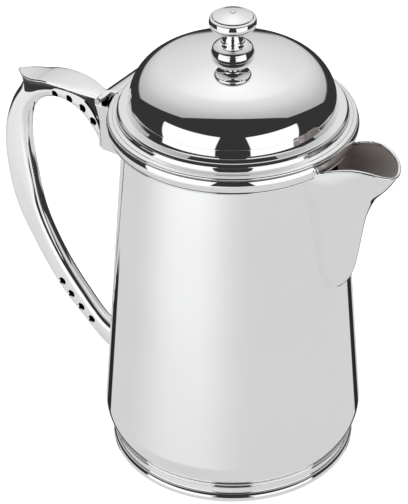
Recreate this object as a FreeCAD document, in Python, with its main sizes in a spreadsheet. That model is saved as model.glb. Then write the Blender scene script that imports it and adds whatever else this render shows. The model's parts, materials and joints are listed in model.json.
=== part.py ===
import FreeCAD, Part
import math
import os
import Sketcher

# Hot water jug in polished plated metal: a tapered body on a moulded foot, a beak spout, a flat-topped
# C handle and a domed lid on a hinge. +Z is up, the origin is on the axis at the resting plane,
# the spout points to +X and the handle to -X.

doc = FreeCAD.newDocument("HotWaterJug")
sheet = doc.addObject("Spreadsheet::Sheet", "Dimensions")

DIMENSIONS = {
    # body
    "wall": 1.2,
    "foot_height": 10.0,
    "foot_joint_radius": 53.2,
    "belly_radius": 55.8,
    "belly_height": 20.0,
    "belly_curve": 15.7,
    "neck_radius": 45.0,
    "neck_height": 152.0,
    "rim_height": 160.0,
    "rim_cover": 0.6,
    # foot and base
    "foot_inner_radius": 50.3,
    "base_edge_height": 1.9,
    "base_thickness": 1.2,
    "base_kick": 0.8,
    "base_kick_radius": 46.0,
    # collar
    "collar_radius": 50.7,
    "collar_root_height": 152.6,
    # lid
    "lid_gap": 0.1,
    "lid_metal": 1.0,
    "bead_radius": 50.5,
    "dome_radius": 42.2,
    "dome_seat_rise": 6.8,
    "dome_rise": 21.3,
    "dome_shoulder": 18.0,
    "bezel_radius": 42.3,
    "bezel_metal": 0.8,
    "bezel_depth": 4.2,
    "bezel_flange_radius": 46.4,
    # finial
    "finial_foot_radius": 8.7,
    "knob_top_rise": 18.7,
    "nipple_radius": 1.3,
    "nipple_rise": 19.4,
    "stud_radius": 2.0,
    "stud_engagement": 9.0,
    "stud_length": 6.0,
    "washer_radius": 6.0,
    "washer_thickness": 0.8,
    "nut_width": 7.0,
    "nut_thickness": 3.2,
    # spout
    "spout_wall": 1.1,
    "spout_back": 36.0,
    "spout_slot_width": 19.0,
    "spout_slot_top": 150.0,
    "spout_slot_low": 112.0,
    "spout_slot_low_width": 9.0,
    "spout_brim_start": 152.6,
    "spout_brim_crest": 160.9,
    "spout_brim_crest_reach": 63.5,
    "spout_brim_rise_curve": 36.0,
    "spout_brim_end": 152.9,
    "spout_brim_end_reach": 80.0,
    "spout_brim_fall_curve": 19.0,
    "lip_height": 1.5,
    "lip_proud": 0.5,
    # hinge and bracket
    "hinge_reach": 58.0,
    "hinge_height": 154.1,
    "knuckle_radius": 1.65,
    "pin_radius": 0.8,
    "pin_clearance": 0.04,
    "hinge_length": 27.0,
    "knuckle_gap": 0.3,
    "pin_head_radius": 1.25,
    "pin_head_thickness": 0.7,
    "leaf_metal": 1.2,
    "leaf_width": 26.0,
    "leaf_bend": 10.0,
    "bracket_top": 152.6,
    "bracket_shoulder": 61.2,
    "bracket_top_width": 27.0,
    "bracket_low": 125.0,
    "bracket_low_width": 11.0,
    "bracket_fan_curve": 45.0,
    "bracket_cove": 9.6,
    # handle
    "handle_joint": 66.0,
    "handle_joint_top": 148.3,
    "grip_width": 7.4,
    "grip_round": 2.4,
    "web_top": 147.2,
    "vent_radius": 1.55,
    "thumb_root_height": 141.0,
    "thumb_root_tip": 105.6,
    "thumb_root_curve": 300.0,
    "thumb_root_inset": 0.2,
    "thumb_tip": 112.4,
    "thumb_tip_height": 146.9,
    "thumb_crown_curve": 82.0,
    "thumb_side_curve": 55.0,
    "thumb_end": 67.4,
    "thumb_end_width": 7.8,
    "pad_metal": 1.4,
    "pad_width": 15.0,
    "pad_low": 11.5,
    "pad_top": 28.0,
    "pad_corner": 4.0,
}

for row, (alias, value) in enumerate(DIMENSIONS.items(), start=1):
    sheet.set("A%d" % row, alias)
    sheet.set("B%d" % row, repr(value))
    sheet.setAlias("B%d" % row, alias)
doc.recompute()


class Size:
    """A length that knows its value and the sheet formula that gives it."""

    def __init__(self, value, formula):
        self.value = value
        self.formula = formula

    def _join(self, other, sign, value):
        other_formula = other.formula if isinstance(other, Size) else repr(float(other))
        return Size(value, "(%s %s %s)" % (self.formula, sign, other_formula))

    def __add__(self, other):
        return self._join(other, "+", self.value + plain(other))

    def __sub__(self, other):
        return self._join(other, "-", self.value - plain(other))

    def __mul__(self, other):
        return self._join(other, "*", self.value * plain(other))

    def __truediv__(self, other):
        return self._join(other, "/", self.value / plain(other))

    def __neg__(self):
        return Size(-self.value, "(-1 * %s)" % self.formula)


def plain(length):
    return length.value if isinstance(length, Size) else float(length)


def dim(alias):
    return Size(float(sheet.get(alias)), "Dimensions.%s" % alias)


def fixed(value):
    return Size(float(value), repr(float(value)))


def as_size(length):
    return length if isinstance(length, Size) else fixed(length)


ORIGIN = (-1, 1)
HORIZONTAL_AXIS = -1
VERTICAL_AXIS = -2


def new_body(label):
    body = doc.addObject("PartDesign::Body", label)
    body.Label = label
    return body


def origin_plane(body, role):
    return next(feature for feature in body.Origin.OriginFeatures if feature.Role == role)


def new_sketch(body, name, role, offset=None):
    sketch = body.newObject("Sketcher::SketchObject", name)
    sketch.AttachmentSupport = [(origin_plane(body, role), "")]
    sketch.MapMode = "FlatFace"
    if offset is not None:
        sketch.AttachmentOffset = FreeCAD.Placement(FreeCAD.Vector(0, 0, offset.value), FreeCAD.Rotation())
        sketch.setExpression("AttachmentOffset.Base.z", offset.formula)
    return sketch


def bind(sketch, constraint, size):
    index = sketch.addConstraint(constraint)
    sketch.setExpression("Constraints[%d]" % index, size.formula)


def pin_point(sketch, geometry, position, point):
    """Holds a sketch point at its two distances from the origin."""
    for kind, axis, length in (("DistanceX", VERTICAL_AXIS, point[0]), ("DistanceY", HORIZONTAL_AXIS, point[1])):
        size = as_size(length)
        if abs(size.value) < 1e-9:
            sketch.addConstraint(Sketcher.Constraint("PointOnObject", geometry, position, axis))
        else:
            bind(sketch, Sketcher.Constraint(kind, *ORIGIN, geometry, position, size.value), size)


def arc_between(start, end, radius, turn):
    """The short arc from start to end; turn is 1 where it runs anticlockwise, -1 where clockwise."""
    chord = end - start
    middle = (start + end) * 0.5
    height = math.sqrt(max(radius ** 2 - (chord.Length / 2) ** 2, 0.0))
    side = FreeCAD.Vector(-chord.y, chord.x, 0).normalize()
    centre = middle + side * height * turn
    first = math.atan2(start.y - centre.y, start.x - centre.x)
    last = math.atan2(end.y - centre.y, end.x - centre.x)
    circle = Part.Circle(centre, FreeCAD.Vector(0, 0, 1), radius)
    return Part.ArcOfCircle(circle, first, last) if turn > 0 else Part.ArcOfCircle(circle, last, first)


def outline(sketch, path):
    """Draws a closed outline. path is a list of corners; a corner (x, y) is reached by a line and
    a corner (x, y, radius, turn) by an arc from the corner before it."""
    corners = [FreeCAD.Vector(plain(corner[0]), plain(corner[1]), 0) for corner in path]
    ends = []
    for number, corner in enumerate(path):
        start = corners[number - 1]
        end = corners[number]
        if len(corner) == 2:
            index = sketch.addGeometry(Part.LineSegment(start, end), False)
            ends.append((index, 1, 2))
        else:
            radius = as_size(corner[2])
            index = sketch.addGeometry(arc_between(start, end, radius.value, corner[3]), False)
            ends.append((index, 1, 2) if corner[3] > 0 else (index, 2, 1))
            bind(sketch, Sketcher.Constraint("Radius", index, radius.value), radius)
    for number, (index, first, last) in enumerate(ends):
        before = ends[number - 1]
        sketch.addConstraint(Sketcher.Constraint("Coincident", before[0], before[2], index, first))
        pin_point(sketch, index, last, path[number])
    return sketch


def disc(sketch, centre, radius):
    radius = as_size(radius)
    place = FreeCAD.Vector(plain(centre[0]), plain(centre[1]), 0)
    index = sketch.addGeometry(Part.Circle(place, FreeCAD.Vector(0, 0, 1), radius.value), False)
    bind(sketch, Sketcher.Constraint("Radius", index, radius.value), radius)
    pin_point(sketch, index, 3, centre)


def turned(body, name, path, kind="PartDesign::Revolution"):
    """Turns (or cuts) an outline of radius and height right round the jug's axis."""
    sketch = outline(new_sketch(body, name + "Outline", "XZ_Plane"), path)
    feature = body.newObject(kind, name)
    feature.Profile = sketch
    feature.ReferenceAxis = (sketch, ["V_Axis"])
    feature.Angle = 360.0
    return feature


def padded(body, name, sketch, length, middle=True, reverse=False):
    length = as_size(length)
    pad = body.newObject("PartDesign::Pad", name)
    pad.Profile = sketch
    pad.Length = length.value
    pad.setExpression("Length", length.formula)
    pad.Midplane = middle
    pad.Reversed = reverse
    return pad


def pocketed(body, name, sketch, length, middle=True, reverse=False):
    length = as_size(length)
    doc.recompute()
    before = body.Shape.Volume
    pocket = body.newObject("PartDesign::Pocket", name)
    pocket.Profile = sketch
    pocket.Length = length.value
    pocket.setExpression("Length", length.formula)
    pocket.Midplane = middle
    pocket.Reversed = reverse
    doc.recompute()
    if not body.Shape.Volume < before - 1e-3:
        raise RuntimeError("%s removes nothing" % name)
    return pocket


# Body

wall = dim("wall")
rim_height = dim("rim_height")
foot_height = dim("foot_height")
neck_radius = dim("neck_radius")
neck_height = dim("neck_height")
belly_radius = dim("belly_radius")
belly_height = dim("belly_height")
shell_top = rim_height - dim("rim_cover")


def body_surface(inset):
    """The radius and height of the tapered body's surface, from its foot to its neck, set in by inset."""
    return [
        (dim("foot_joint_radius") - inset, foot_height),
        (belly_radius - inset, belly_height, dim("belly_curve") - inset, 1),
        (neck_radius - inset, neck_height),
    ]


# Turned mouldings from below upwards: radius, height above the moulding's own ground and, where an
# arc leads there, its radius and turn.
FOOT_MOULDING = (
    (53.2, 0.0), (53.2, 1.3), (52.2, 3.3, 2.4, 1), (51.9, 4.2, 0.8, -1), (51.8, 6.5),
    (52.5, 6.8), (52.9, 7.3, 0.5, 1), (52.5, 7.8, 0.5, 1), (52.4, 8.1),
)
BASE_EDGE = ((52.4, -1.9), (53.2, -1.1), (53.5, -0.6, 0.5, 1), (53.3, 0.0, 0.5, 1))
COLLAR_MOULDING = ((49.5, -6.8), (50.05, -6.4, 0.4, 1), (49.85, -5.9, 0.4, 1), (50.7, 0.0, 4.9, 1))
LID_BEAD = ((50.6, 0.5), (50.0, 1.2, 0.75, 1), (48.8, 1.3))
LID_STEPS = (
    (48.5, 1.6, 0.35, 1), (47.7, 1.7), (47.4, 2.0), (47.1, 3.1), (46.9, 3.5, 0.8, -1), (46.5, 4.9, 2.4, 1),
    (45.6, 5.7, 1.0, 1), (43.4, 5.35), (42.4, 6.3, 1.1, -1),
)
LID_INSIDE = ((41.2, 5.4), (42.6, 4.4), (45.0, 4.6), (45.6, 4.0))
FINIAL_MOULDING = (
    (8.8, 1.2), (8.3, 3.0, 5.0, 1), (7.3, 4.4, 2.2, 1), (5.0, 5.7, 6.0, 1), (4.7, 5.9), (4.6, 6.5), (4.2, 6.7),
    (3.8, 8.5, 6.0, -1), (4.1, 9.6), (8.5, 12.2, 7.6, -1), (9.5, 13.9, 2.2, 1), (9.3, 16.1, 7.0, 1),
    (8.7, 16.7, 0.8, 1), (8.3, 16.8), (8.1, 17.2), (7.7, 17.4, 0.5, 1),
)
KNOB_CROWN_CURVE = 26.0


def moulding(points, ground):
    """The corners of a moulding that stands on a height."""
    return [(point[0], ground + point[1], *point[2:]) for point in points]


def collar_surface():
    """The radius and height of the collar's outside, from its root to its rim."""
    return [(neck_radius, dim("collar_root_height"))] + moulding(COLLAR_MOULDING, rim_height)


def cut_inside_body(body, name, stand_off=0.0):
    """Takes away all that lies within the body's outer surface, grown by stand_off, and in the collar."""
    growth = as_size(stand_off)
    above = rim_height + 10
    path = [(0, foot_height)] + body_surface(-growth) + collar_surface()
    path += [(dim("collar_radius"), above), (0, above)]
    return turned(body, name, path, "PartDesign::Groove")


def make_body_shell():
    body = new_body("body_shell")
    outer = body_surface(fixed(0))
    inner = body_surface(wall)
    path = [
        (*inner[0], inner[1][2], -1),
        *outer,
        (neck_radius, shell_top),
        (neck_radius - wall, shell_top),
        inner[2],
        inner[1][:2],
    ]
    turned(body, "Wall", path)
    # the pouring slot behind the spout, wide at the top and narrow below
    low = dim("spout_slot_low")
    top = dim("spout_slot_top")
    half_top = dim("spout_slot_width") / 2
    half_low = dim("spout_slot_low_width") / 2
    slot = outline(
        new_sketch(body, "SlotOutline", "YZ_Plane"),
        [(-half_low, low), (half_low, low, half_low * 1.15, 1), (half_top, top), (-half_top, top)],
    )
    pocketed(body, "Slot", slot, 60.0, middle=False, reverse=True)
    return body


body_shell = make_body_shell()


def make_base_disc():
    body = new_body("base_disc")
    low = foot_height - dim("base_edge_height")
    metal = dim("base_thickness")
    kick = dim("base_kick")
    shoulder = dim("base_kick_radius")
    flat = shoulder + 2
    path = [(0, foot_height + kick - metal), (shoulder, foot_height + kick - metal), (flat, low)]
    path += moulding(BASE_EDGE, foot_height)
    path += [(flat, foot_height), (shoulder, foot_height + kick), (0, foot_height + kick)]
    turned(body, "Disc", path)
    return body


base_disc = make_base_disc()


def make_foot_ring():
    body = new_body("foot_ring")
    inner = dim("foot_inner_radius")
    top = foot_height - dim("base_edge_height")
    turned(body, "Ring", [(inner, 0)] + moulding(FOOT_MOULDING, fixed(0)) + [(inner, top)])
    return body


foot_ring = make_foot_ring()


def make_rim_collar():
    body = new_body("rim_collar")
    path = collar_surface() + [
        (neck_radius - wall, rim_height),
        (neck_radius - wall, shell_top),
        (neck_radius, shell_top),
    ]
    turned(body, "Collar", path)
    return body


rim_collar = make_rim_collar()

# Lid

seat = rim_height + dim("lid_gap")
lid_metal = dim("lid_metal")
dome_seat = rim_height + dim("dome_seat_rise")
apex = dome_seat + dim("dome_rise")


def make_lid_rim():
    body = new_body("lid_rim")
    flange = dim("bezel_flange_radius")
    path = [(flange, seat), (dim("bead_radius"), seat)]
    path += moulding(LID_BEAD + LID_STEPS, rim_height)
    path += [(dim("dome_radius"), dome_seat), (dim("dome_radius") - lid_metal, dome_seat)]
    path += moulding(LID_INSIDE, rim_height)
    path += [(LID_INSIDE[-1][0], seat + lid_metal), (flange, seat + lid_metal)]
    turned(body, "Rim", path)
    return body


lid_rim = make_lid_rim()


def make_lid_bezel():
    body = new_body("lid_bezel")
    outer = dim("bezel_radius")
    inner = outer - dim("bezel_metal")
    flange = dim("bezel_flange_radius")
    low = rim_height - dim("bezel_depth")
    path = [
        (inner, low),
        (outer, low),
        (outer, seat),
        (flange, seat),
        (flange, seat + lid_metal),
        (inner, seat + lid_metal),
    ]
    turned(body, "Bezel", path)
    return body


lid_bezel = make_lid_bezel()


def crown_radius(radius, rise, shoulder):
    """The radius of the wide top arc that runs smoothly into a shoulder arc at the dome's edge."""
    reach = radius - shoulder
    return (reach * reach + rise * rise - shoulder * shoulder) / ((rise - shoulder) * 2)


crown = crown_radius(dim("dome_radius"), dim("dome_rise"), dim("dome_shoulder"))
crown_centre = apex - crown


def shoulder_point(inset):
    """Where the shoulder arc and the crown arc of the dome meet, set in by inset."""
    reach = dim("dome_radius") - dim("dome_shoulder")
    length = crown - dim("dome_shoulder")
    radius = dim("dome_shoulder") - inset
    across = reach + reach / length * radius
    up = dome_seat + (length - dim("dome_rise") + dim("dome_shoulder")) / length * radius
    return across, up


def make_lid_dome():
    body = new_body("lid_dome")
    outer = dim("dome_radius")
    shoulder = dim("dome_shoulder")
    path = [
        (outer - lid_metal, dome_seat),
        (outer, dome_seat),
        (*shoulder_point(0.0), shoulder, 1),
        (0, apex, crown, 1),
        (0, apex - lid_metal),
        (*shoulder_point(lid_metal), crown - lid_metal, -1),
        (outer - lid_metal, dome_seat, shoulder - lid_metal, -1),
    ]
    # the first corner closes the outline, so the last arc already ends on it
    turned(body, "Dome", path[1:])
    hole = new_sketch(body, "StudHoleOutline", "XY_Plane", apex + 5)
    disc(hole, (0, 0), dim("stud_radius") + 0.1)
    pocketed(body, "StudHole", hole, 12.0, middle=False)
    return body


lid_dome = make_lid_dome()


def crown_height(radius):
    """The height of the dome's crown at a radius that the crown arc covers."""
    drop = crown.value - math.sqrt(crown.value ** 2 - radius.value ** 2)
    formula = "(%s - %s + sqrt(%s ^ 2 - %s ^ 2))" % (apex.formula, crown.formula, crown.formula, radius.formula)
    return Size(apex.value - drop, formula)


def make_finial():
    body = new_body("finial")
    foot = dim("finial_foot_radius")
    ground = crown_height(foot)
    bore = dim("stud_radius")
    # the nipple's arc is centred on the axis, so its top is level
    nipple = dim("nipple_radius")
    nipple_height = dim("nipple_rise") - dim("knob_top_rise")
    nipple_curve = (nipple * nipple + nipple_height * nipple_height) / (nipple_height * 2)
    path = [(bore, crown_height(bore)), (foot, ground, crown, -1)]
    path += moulding(FINIAL_MOULDING, ground)
    path += [
        (nipple, ground + dim("knob_top_rise"), KNOB_CROWN_CURVE, 1),
        (0, ground + dim("nipple_rise"), nipple_curve, 1),
        (0, ground + dim("stud_engagement")),
        (bore, ground + dim("stud_engagement")),
    ]
    turned(body, "Finial", path)
    return body


finial = make_finial()


def make_finial_stud():
    body = new_body("finial_stud")
    bore = dim("stud_radius")
    low = apex - lid_metal - dim("stud_length")
    top = crown_height(dim("finial_foot_radius")) + dim("stud_engagement")
    path = [(0, low), (bore - 0.3, low), (bore, low + 0.3), (bore, top), (0, top)]
    turned(body, "Stud", path)
    return body


finial_stud = make_finial_stud()


def make_finial_washer():
    body = new_body("finial_washer")
    bore = dim("stud_radius")
    outer = dim("washer_radius")
    top = crown_height(outer) - lid_metal - 0.05
    low = top - dim("washer_thickness")
    turned(body, "Washer", [(bore, low), (outer, low), (outer, top), (bore, top)])
    return body


finial_washer = make_finial_washer()


def make_finial_nut():
    body = new_body("finial_nut")
    top = crown_height(dim("washer_radius")) - lid_metal - 0.05 - dim("washer_thickness")
    low = top - dim("nut_thickness")
    half = dim("nut_width") / 2
    corner = half / math.cos(math.radians(30))
    sketch = new_sketch(body, "NutOutline", "XY_Plane", low)
    corners = []
    for turn in range(6):
        angle = math.radians(60 * turn + 30)
        corners.append((corner * math.cos(angle), corner * math.sin(angle)))
    outline(sketch, corners)
    disc(sketch, (0, 0), dim("stud_radius"))
    padded(body, "Nut", sketch, dim("nut_thickness"), middle=False)
    return body


finial_nut = make_finial_nut()

# Spout

# Level sections of the beak from its point on the body up past its brim: height, half width
# where it meets the body, and reach of its keel from the axis.
SPOUT_SECTIONS = (
    (94.0, 2.6, 51.0),
    (98.0, 4.9, 54.8),
    (104.0, 6.6, 58.0),
    (113.0, 7.5, 60.0),
    (123.0, 8.9, 61.4),
    (133.0, 10.6, 63.2),
    (142.0, 13.1, 66.9),
    (150.0, 14.6, 72.9),
    (157.0, 14.9, 76.9),
    (162.0, 14.9, 78.6),
)


def body_radius(height):
    """The body's outer radius at a height on its taper."""
    slope = (belly_radius.value - neck_radius.value) / (neck_height.value - belly_height.value)
    return neck_radius.value + (neck_height.value - height) * slope


def beak(body, name, growth, kind):
    """Lofts the beak through its level sections; growth moves its flanks outwards."""
    sketches = []
    for number, (height, half_width, reach) in enumerate(SPOUT_SECTIONS):
        root = body_radius(height) - 1.5
        half = half_width + growth
        depth = reach + growth - root
        back = dim("spout_back").value
        sketch = new_sketch(body, "%sSection%d" % (name, number), "XY_Plane", fixed(height))
        centre = FreeCAD.Vector(root, 0, 0)
        if depth >= half:
            ellipse = Part.Ellipse(FreeCAD.Vector(root + depth, 0, 0), FreeCAD.Vector(root, half, 0), centre)
            nose = Part.ArcOfEllipse(ellipse, -math.pi / 2, math.pi / 2)
        else:
            ellipse = Part.Ellipse(FreeCAD.Vector(root, half, 0), FreeCAD.Vector(root - depth, 0, 0), centre)
            nose = Part.ArcOfEllipse(ellipse, -math.pi, 0)
        left = FreeCAD.Vector(root, half, 0)
        right = FreeCAD.Vector(root, -half, 0)
        back_left = FreeCAD.Vector(back, half, 0)
        back_right = FreeCAD.Vector(back, -half, 0)
        sketch.addGeometry(nose, False)
        sketch.addGeometry(Part.LineSegment(left, back_left), False)
        sketch.addGeometry(Part.LineSegment(back_left, back_right), False)
        sketch.addGeometry(Part.LineSegment(back_right, right), False)
        for geometry in range(4):
            sketch.addConstraint(Sketcher.Constraint("Block", geometry))
        sketches.append(sketch)
    loft = body.newObject(kind, name)
    loft.Profile = sketches[0]
    loft.Sections = sketches[1:]
    loft.Ruled = False
    return loft


def brim_path(drop, top):
    """The side view of everything above the spout's brim, lowered by drop, up to a height of top."""
    start = dim("spout_brim_start") - drop
    crest = dim("spout_brim_crest") - drop
    end = dim("spout_brim_end") - drop
    reach = dim("spout_brim_end_reach")
    return [
        (dim("spout_back"), start),
        (neck_radius, start),
        (dim("spout_brim_crest_reach"), crest, dim("spout_brim_rise_curve"), -1),
        (reach, end, dim("spout_brim_fall_curve"), -1),
        (reach, top),
        (dim("spout_back"), top),
    ]


def make_spout():
    body = new_body("spout")
    beak(body, "Outside", 0.0, "PartDesign::AdditiveLoft")
    beak(body, "Inside", -dim("spout_wall").value, "PartDesign::SubtractiveLoft")
    cut_inside_body(body, "BodyClearance")
    above = outline(new_sketch(body, "BrimOutline", "XZ_Plane"), brim_path(fixed(0), rim_height + 10))
    pocketed(body, "Brim", above, 60.0)
    return body


spout = make_spout()


def make_spout_lip():
    body = new_body("spout_lip")
    beak(body, "LipOutside", dim("lip_proud").value, "PartDesign::AdditiveLoft")
    beak(body, "LipInside", 0.0, "PartDesign::SubtractiveLoft")
    cut_inside_body(body, "BodyClearance")
    above = outline(new_sketch(body, "AboveOutline", "XZ_Plane"), brim_path(fixed(0), rim_height + 10))
    pocketed(body, "Above", above, 60.0)
    below = outline(new_sketch(body, "BelowOutline", "XZ_Plane"), brim_path(dim("lip_height"), foot_height))
    pocketed(body, "Below", below, 60.0)
    return body


spout_lip = make_spout_lip()

# Hinge

hinge_x = -dim("hinge_reach")
hinge_z = dim("hinge_height")
knuckle_radius = dim("knuckle_radius")
knuckle_gap = dim("knuckle_gap")
KNUCKLES = 5
knuckle_length = dim("hinge_length") / KNUCKLES
WELL_CLEAR = 60.0


def knuckle_edges(first):
    """Where every second knuckle starts and ends along the pin, from number first."""
    start = -dim("hinge_length") / 2
    numbers = range(first, KNUCKLES, 2)
    return [(start + knuckle_length * number, start + knuckle_length * (number + 1)) for number in numbers]


def rectangle(sketch, low, high):
    return outline(sketch, [low, (high[0], low[1]), high, (low[0], high[1])])


def round_bar(body, name, place, length, radius):
    """A bar on the hinge line; place is how far its middle stands from the jug's side view."""
    sketch = new_sketch(body, name + "Outline", "XZ_Plane", place)
    disc(sketch, (hinge_x, hinge_z), radius)
    return padded(body, name, sketch, length)


def pin_bore(body, radius):
    bore = new_sketch(body, "BoreOutline", "XZ_Plane")
    disc(bore, (hinge_x, hinge_z), radius)
    pocketed(body, "Bore", bore, dim("hinge_length") + 2)


def make_bracket():
    body = new_body("handle_bracket")
    top = dim("bracket_top")
    low = dim("bracket_low")
    half_top = dim("bracket_top_width") / 2
    half_low = dim("bracket_low_width") / 2
    half_web = dim("grip_width") / 2
    joint = -dim("handle_joint")
    fan_curve = dim("bracket_fan_curve")
    fan = outline(
        new_sketch(body, "FanOutline", "YZ_Plane"),
        [(-half_low, low), (half_low, low), (half_top, top, fan_curve, -1), (-half_top, top)],
    )
    padded(body, "Fan", fan, dim("handle_joint"), middle=False, reverse=True)
    # each flank sweeps out of the handle's web in a cove
    cove = dim("bracket_cove")
    for name, side in (("Near", -1), ("Far", 1)):
        flank = outline(
            new_sketch(body, name + "FlankOutline", "XY_Plane"),
            [
                (joint - 1, half_web * side),
                (joint, half_web * side),
                (hinge_x - knuckle_radius, half_top * side, cove, side),
                (hinge_x - knuckle_radius, (half_top + 4) * side),
                (joint - 1, (half_top + 4) * side),
            ],
        )
        pocketed(body, name + "Flank", flank, rim_height * 3)
    # the top slopes from the hinge down to the thumb plate
    slope = outline(
        new_sketch(body, "SlopeOutline", "XZ_Plane"),
        [
            (joint - 1, dim("handle_joint_top")),
            (joint, dim("handle_joint_top")),
            (-dim("bracket_shoulder"), top),
            (-dim("bracket_shoulder"), top + 4),
            (joint - 1, top + 4),
        ],
    )
    pocketed(body, "Slope", slope, WELL_CLEAR)
    cut_inside_body(body, "BodyClearance")
    round_bar(body, "Barrel", fixed(0), dim("hinge_length"), knuckle_radius)
    roots = new_sketch(body, "KnuckleRootsOutline", "XZ_Plane")
    rectangle(roots, (hinge_x - knuckle_radius, top - 1), (hinge_x + knuckle_radius, hinge_z))
    padded(body, "KnuckleRoots", roots, dim("hinge_length"))
    slot_floor = hinge_z - knuckle_radius - knuckle_gap
    for number, (start, end) in enumerate(knuckle_edges(1)):
        slot = new_sketch(body, "SlotOutline%d" % number, "XY_Plane", slot_floor)
        rectangle(slot, (hinge_x - knuckle_radius * 2, start), (hinge_x + knuckle_radius * 2, end))
        pocketed(body, "Slot%d" % number, slot, knuckle_radius * 3, middle=False, reverse=True)
    pin_bore(body, dim("pin_radius"))
    return body


handle_bracket = make_bracket()


def make_lid_leaf():
    body = new_body("lid_hinge_leaf")
    metal = dim("leaf_metal")
    knuckle_top = hinge_z + knuckle_radius
    root_x = -dim("bead_radius") + 2.5
    root_low = seat + 0.4
    over_rim_x = -dim("bead_radius") - 1
    strip = outline(
        new_sketch(body, "LeafOutline", "XZ_Plane"),
        [
            (root_x, root_low),
            (root_x, root_low + metal),
            (hinge_x, knuckle_top, dim("leaf_bend"), 1),
            (hinge_x + 0.8, knuckle_top - metal),
            (over_rim_x, root_low - 0.1),
        ],
    )
    padded(body, "Leaf", strip, dim("leaf_width"))
    # the root is fitted to the outside of the lid's bead
    well_inside = -root_x - 6
    bead = [(well_inside, seat - 2), (dim("bead_radius"), seat - 2), (dim("bead_radius"), seat)]
    bead += moulding(LID_BEAD, rim_height)
    bead += [(LID_BEAD[-1][0], seat + 6), (well_inside, seat + 6)]
    turned(body, "BeadSeat", bead, "PartDesign::Groove")
    slot_edge = hinge_x + knuckle_radius + knuckle_gap * 1.5
    for number, (start, end) in enumerate(knuckle_edges(0)):
        slot = new_sketch(body, "SlotOutline%d" % number, "XY_Plane")
        rectangle(slot, (hinge_x - 4, start - knuckle_gap), (slot_edge, end + knuckle_gap))
        pocketed(body, "Slot%d" % number, slot, rim_height * 3)
    for number, (start, end) in enumerate(knuckle_edges(1)):
        length = knuckle_length - knuckle_gap * 2
        round_bar(body, "Knuckle%d" % number, -(start + end) / 2, length, knuckle_radius)
    pin_bore(body, dim("pin_radius") + dim("pin_clearance"))
    return body


lid_hinge_leaf = make_lid_leaf()


def make_hinge_pin():
    body = new_body("hinge_pin")
    length = dim("hinge_length")
    head = dim("pin_head_thickness")
    round_bar(body, "Shank", fixed(0), length, dim("pin_radius"))
    for name, side in (("Near", 1), ("Far", -1)):
        round_bar(body, name + "Head", (length + head) / 2 * side, head, dim("pin_head_radius"))
    return body


hinge_pin = make_hinge_pin()

# Handle

# Side views of the grip's back and inside: distance from the axis, height.
GRIP_BACK = (
    (-54.0, 13.6), (-67.2, 18.2), (-79.6, 28.6), (-93.4, 42.4), (-107.9, 64.3),
    (-115.2, 79.6), (-119.0, 99.0), (-118.6, 117.0), (-113.6, 132.8), (-107.6, 142.5),
)
GRIP_INSIDE = (
    (-66.0, 125.0), (-70.2, 131.4), (-76.8, 137.9), (-86.8, 140.7), (-97.2, 137.4),
    (-104.4, 128.6), (-106.4, 115.0), (-104.3, 96.0), (-100.3, 77.1), (-89.9, 56.9),
    (-78.5, 42.2), (-68.0, 31.6), (-54.0, 25.8),
)
UPPER_VENTS = ((-89.1, 142.6), (-81.4, 142.8), (-74.4, 140.6), (-69.0, 135.9))
LOWER_VENTS = ((-90.6, 44.6), (-85.8, 39.4), (-80.4, 34.3), (-74.8, 29.6))
GRIP_SHOULDER_X = -104.0


def smooth_curve(points):
    curve = Part.BSplineCurve()
    curve.interpolate([FreeCAD.Vector(x, z, 0) for x, z in points])
    return curve


def straight(start, end):
    return Part.LineSegment(FreeCAD.Vector(*start, 0), FreeCAD.Vector(*end, 0))


def back_edges(shape):
    """The names of the two long edges along the outside of the C."""
    names = []
    for number, edge in enumerate(shape.Edges, start=1):
        middle = edge.valueAt((edge.FirstParameter + edge.LastParameter) / 2)
        if edge.Length > GRIP_BACK[-1][1] and middle.x < GRIP_INSIDE[6][0]:
            names.append("Edge%d" % number)
    return names


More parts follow.
